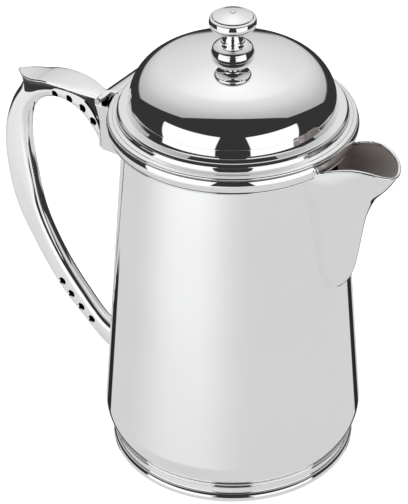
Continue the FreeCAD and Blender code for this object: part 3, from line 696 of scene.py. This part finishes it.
# The thumb plate along its length: distance from the axis, half width, height of its top, and the
# half width and height at which its cove runs out on the web.
THUMB_PLATE = (
    (-111.0, 0.15, 147.3, 0.05, 146.7), (-110.3, 0.9, 147.5, 0.4, 146.2), (-109.0, 2.0, 147.6, 1.0, 145.4),
    (-107.0, 3.6, 147.7, 2.4, 143.6), (-105.4, 4.6, 147.8, 3.75, 139.4), (-102.0, 5.75, 148.1, 3.75, 139.9),
    (-98.0, 6.45, 148.8, 3.75, 142.0), (-94.0, 6.8, 149.8, 3.75, 143.6), (-90.5, 7.08, 150.3, 3.75, 144.7),
    (-88.5, 7.16, 150.5, 3.75, 145.9), (-85.0, 7.24, 150.66, 3.75, 146.3), (-80.0, 7.0, 150.5, 3.75, 146.4),
    (-75.0, 6.25, 150.1, 3.75, 145.8), (-72.0, 5.5, 149.7, 3.75, 144.8), (-70.0, 4.9, 149.4, 3.75, 142.8),
    (-68.0, 4.25, 149.0, 3.75, 140.5), (-65.5, 3.9, 148.6, 3.75, 138.5),
)


def thumb_section(place, half, top, foot, low):
    """One section across the thumb plate: over its top, round its edges and down its coves."""
    edge = min(0.35, half * 0.4)
    under = top - min(1.35, (top - low) * 0.55)
    crown = 0.12 * min(half, 2.0)
    side = [
        (half * 0.45, top + crown * 0.8), (half * 0.75, top + crown * 0.5), (half - edge, top),
        (half - edge * 0.3, top - edge * 0.3), (half, top - edge), (half, (top - edge + under) / 2),
        (half - edge, under),
    ]
    for step in range(1, 9):
        share = step / 8
        side.append((foot + (half - edge - foot) * (1 - share) ** 2.4, under + (low - under) * share))
    side.append((foot * 0.8, low - 0.02))
    near = [(place, -y, z) for y, z in side]
    far = [(place, y, z) for y, z in reversed(side)]
    return [(place, 0.0, top + crown)] + near + far


def make_thumb_plate():
    sections = [thumb_section(*row) for row in smooth_line(THUMB_PLATE, 90)]
    piece = make_piece("handle_thumb_plate", *lofted(sections), [BRIGHT, PAINTED_SHADE])
    count = len(sections[0])
    # painted shade and painted dark reflection: the coves under the plate are painted near black
    for number, face in enumerate(piece.data.polygons):
        if number < (len(sections) - 1) * count and 7 <= number % count <= count - 8:
            face.material_index = 1
    return finish_piece(piece, "handle", replace=False)


make_thumb_plate()


def make_root_crease_shade(name, side):
    """A near-black tube of painted shade along the crease between the web and the fan root."""
    side_view = smooth_line(((-72.6, 144.9), (-69.0, 141.4), (-66.0, 136.3), (-65.1, 133.5)), 40)
    line = [(point.x, (HALF_WEB + 0.12) * side, point.y) for point in side_view]
    piece = make_piece(name, *lofted(tube(line, 0.36)), [PAINTED_SHADE])
    return finish_piece(piece, "handle", replace=False)


make_root_crease_shade("root_crease_shade_near", -1)
make_root_crease_shade("root_crease_shade_far", 1)

# Stage and light

CAMERA_AZIMUTH = math.radians(33.5)
CAMERA_ELEVATION = math.radians(34.34)
CAMERA_DISTANCE = 873.4
CAMERA_TARGET_Z = 92.67
CAMERA_FOCAL = 2066.0
FRAME_WIDTH = 408
FRAME_HEIGHT = 504
AXIS_COLUMN = 232.8
SENSOR = 36.0


def make_camera():
    azimuth, elevation = CAMERA_AZIMUTH, CAMERA_ELEVATION
    back = Vector((
        math.sin(azimuth) * math.cos(elevation), -math.cos(azimuth) * math.cos(elevation), math.sin(elevation),
    ))
    right = Vector((math.cos(azimuth), math.sin(azimuth), 0.0))
    data = bpy.data.cameras.new("camera")
    data.sensor_width = SENSOR
    data.lens = CAMERA_FOCAL * SENSOR / FRAME_HEIGHT
    data.shift_x = (FRAME_WIDTH / 2 - AXIS_COLUMN) / FRAME_HEIGHT
    data.clip_start = 0.01
    camera = bpy.data.objects.new("camera", data)
    scene.collection.objects.link(camera)
    place = (Vector((0.0, 0.0, CAMERA_TARGET_Z)) + back * CAMERA_DISTANCE) * MM
    camera.matrix_world = Matrix.Translation(place) @ Matrix((right, back.cross(right), back)).transposed().to_4x4()
    scene.camera = camera


make_camera()

DARK = 0.034
TABLE = 0.66


def tent_light(nodes):
    """How bright the light tent is in each direction from the jug.

    The tent is turned so that its own -Y faces the camera's side. A pale ceiling falls away towards
    the front, where a dark wall has two tall bright windows with a dark gap between them, and the
    lower part is a pale table with a soft bright patch on its left."""
    place = nodes.add("ShaderNodeTexCoord").outputs["Object"]
    unit = nodes.add("ShaderNodeVectorMath", operation="NORMALIZE")
    nodes.feed(unit.inputs[0], place)
    split = nodes.add("ShaderNodeSeparateXYZ")
    nodes.feed(split.inputs[0], unit.outputs["Vector"])
    side, back, up = split.outputs
    front = nodes.math("MULTIPLY", back, -1.0)
    azimuth = nodes.math("DEGREES", nodes.math("ARCTAN2", side, front))
    away = nodes.math("ABSOLUTE", azimuth)
    height = nodes.math("DEGREES", nodes.math("ARCSINE", up))

    def facing(sideways, forwards, upwards):
        """The cosine of the angle from a fixed direction."""
        terms = [
            nodes.math("MULTIPLY", side, sideways),
            nodes.math("MULTIPLY", front, forwards),
            nodes.math("MULTIPLY", up, upwards),
        ]
        return nodes.math("ADD", nodes.math("ADD", terms[0], terms[1]), terms[2])

    # the ceiling: three straight edges in front and at the sides, and a low one behind
    ceiling = nodes.smooth(facing(0.0, -0.88, 0.475), -0.016, -0.004)
    for sign, offset in ((1, 0.045), (-1, -0.005)):
        edge = nodes.smooth(facing(0.338 * sign, -0.537, 0.7725), offset - 0.006, offset + 0.006)
        ceiling = nodes.math("MULTIPLY", ceiling, edge)
    ceiling = nodes.math("MULTIPLY", ceiling, nodes.smooth(height, 2.0, 7.0))
    angle = nodes.math("DEGREES", nodes.math("ARCCOSINE", facing(0.0, -0.559, 0.829)))
    ramp = nodes.add("ShaderNodeValToRGB")
    levels = ((0, 1.04), (10, 0.92), (20, 0.79), (34, 0.71), (45, 0.63), (55, 0.53), (66, 0.44), (90, 0.36))
    while len(ramp.color_ramp.elements) < len(levels):
        ramp.color_ramp.elements.new(0.5)
    for element, (degrees, level) in zip(ramp.color_ramp.elements, levels):
        element.position = degrees / 90
        element.color = (level, level, level, 1.0)
    nodes.feed(ramp.inputs["Fac"], nodes.math("DIVIDE", angle, 90.0))
    sky = ramp.outputs["Color"]
    # the windows, whose inner edges lean apart towards the table
    gap = nodes.math("ADD", nodes.math("MULTIPLY", height, -0.17), 15.6)
    windows = None
    for sign, outer, middle in ((-1, 77.5, -38.0), (1, 71.5, 41.0)):
        turned_to = math.radians(middle)
        lean = 0.285
        top = facing(-lean * math.sin(turned_to), -lean * math.cos(turned_to), 1.0)
        sideways = nodes.math("MULTIPLY", azimuth, float(sign))
        window = nodes.smooth(nodes.math("SUBTRACT", sideways, gap), -0.8, 0.8)
        window = nodes.math("MULTIPLY", window, nodes.smooth(sideways, outer + 1.0, outer - 1.0))
        window = nodes.math("MULTIPLY", window, nodes.smooth(top, 0.01, -0.01))
        windows = window if windows is None else nodes.math("MAXIMUM", windows, window)
    wall = nodes.mix(windows, DARK, 1.06)
    # the table
    far_edge = nodes.math("ADD", nodes.math("MULTIPLY", nodes.smooth(away, 120.0, 150.0), -5.0), -21.5)
    table = nodes.smooth(nodes.math("SUBTRACT", height, far_edge), 1.5, -1.5)
    offset = nodes.math("DIVIDE", nodes.math("ABSOLUTE", nodes.math("ADD", azimuth, 45.5)), 40.5)
    spread = nodes.math("EXPONENT", nodes.math("MULTIPLY", nodes.math("POWER", offset, 2.7), -1.0))
    strength = nodes.math("ADD", nodes.math("MULTIPLY", nodes.math("ADD", height, 24.8), 0.023), 0.36)
    strength = nodes.math("MINIMUM", nodes.math("MAXIMUM", strength, 0.0), 0.36)
    patch = nodes.math("ADD", nodes.math("MULTIPLY", spread, strength), TABLE)
    # narrow dark flags behind the jug draw its outline
    flags = nodes.math("MULTIPLY", nodes.smooth(away, 141.5, 143.5), nodes.smooth(away, 160.0, 157.0))
    flags = nodes.math("MULTIPLY", flags, nodes.smooth(height, -32.2, -33.6))
    patch = nodes.mix(flags, patch, 0.022)
    low = nodes.mix(table, wall, patch)
    light = nodes.add("ShaderNodeMix", data_type="RGBA")
    nodes.feed(light.inputs["Factor"], ceiling)
    nodes.feed(light.inputs["A"], low)
    nodes.feed(light.inputs["B"], sky)
    return light.outputs["Result"]


def make_tent():
    shape = bmesh.new()
    bmesh.ops.create_icosphere(shape, subdivisions=5, radius=3.0)
    mesh = bpy.data.meshes.new("light_tent")
    shape.to_mesh(mesh)
    shape.free()
    tent = bpy.data.objects.new("light_tent", mesh)
    tent.location = (0.0, 0.0, 0.1)
    tent.rotation_euler = (0.0, 0.0, CAMERA_AZIMUTH)
    scene.collection.objects.link(tent)
    material, nodes = new_material("light_tent")
    shader = nodes.add("ShaderNodeEmission")
    nodes.feed(shader.inputs["Color"], tent_light(nodes))
    output = nodes.add("ShaderNodeOutputMaterial")
    nodes.feed(output.inputs["Surface"], shader.outputs["Emission"])
    mesh.materials.append(material)
    tent.visible_camera = False
    tent.visible_shadow = False


make_tent()


def make_floor():
    half = 2.0
    mesh = bpy.data.meshes.new("floor")
    corners = [(-half, -half, 0.0), (half, -half, 0.0), (half, half, 0.0), (-half, half, 0.0)]
    mesh.from_pydata(corners, [], [(0, 1, 2, 3)])
    floor = bpy.data.objects.new("floor", mesh)
    floor.location.z = -0.0003
    scene.collection.objects.link(floor)
    material, nodes = new_material("floor")
    paper = nodes.add("ShaderNodeBsdfDiffuse")
    paper.inputs["Color"].default_value = (0.8, 0.8, 0.8, 1.0)
    glow = nodes.add("ShaderNodeEmission")
    glow.inputs["Strength"].default_value = 0.8
    ray = nodes.add("ShaderNodeLightPath")
    seen = nodes.math("MAXIMUM", ray.outputs["Is Camera Ray"], ray.outputs["Is Glossy Ray"])
    nodes.feed(glow.inputs["Strength"], nodes.math("MULTIPLY", seen, 0.8))
    both = nodes.add("ShaderNodeAddShader")
    nodes.feed(both.inputs[0], paper.outputs["BSDF"])
    nodes.feed(both.inputs[1], glow.outputs["Emission"])
    # from below the floor is clear, so that the foot can be seen
    clear = nodes.add("ShaderNodeBsdfTransparent")
    from_below = nodes.add("ShaderNodeMixShader")
    nodes.feed(from_below.inputs["Fac"], nodes.add("ShaderNodeNewGeometry").outputs["Backfacing"])
    nodes.feed(from_below.inputs[1], both.outputs["Shader"])
    nodes.feed(from_below.inputs[2], clear.outputs["BSDF"])
    output = nodes.add("ShaderNodeOutputMaterial")
    nodes.feed(output.inputs["Surface"], from_below.outputs["Shader"])
    mesh.materials.append(material)
    floor.visible_glossy = False


make_floor()


def make_world():
    world = bpy.data.worlds.new("world")
    scene.world = world
    world.use_nodes = True
    world.node_tree.nodes.clear()
    nodes = Nodes(world.node_tree)
    background = nodes.add("ShaderNodeBackground")
    ray = nodes.add("ShaderNodeLightPath")
    seen = nodes.math("MAXIMUM", ray.outputs["Is Camera Ray"], ray.outputs["Is Glossy Ray"])
    seen = nodes.math("MAXIMUM", seen, ray.outputs["Is Transmission Ray"])
    nodes.feed(background.inputs["Strength"], seen)
    output = nodes.add("ShaderNodeOutputWorld")
    nodes.feed(output.inputs["Surface"], background.outputs["Background"])
    background.inputs["Color"].default_value = (1.0, 1.0, 1.0, 1.0)


make_world()

scene.view_settings.view_transform = "Standard"

# Nodes that stay as they are get a finish

shown = {"polished_plate": BRIGHT, "satin_plate": BRIGHT, "fastener_steel": STEEL}
slots = {part["node"]: part["material_slot"] for part in frame["record"]["subparts"]}
for node, piece in frame["nodes"].items():
    if not piece.hide_render:
        piece.data.materials.clear()
        piece.data.materials.append(shown[slots[node]])
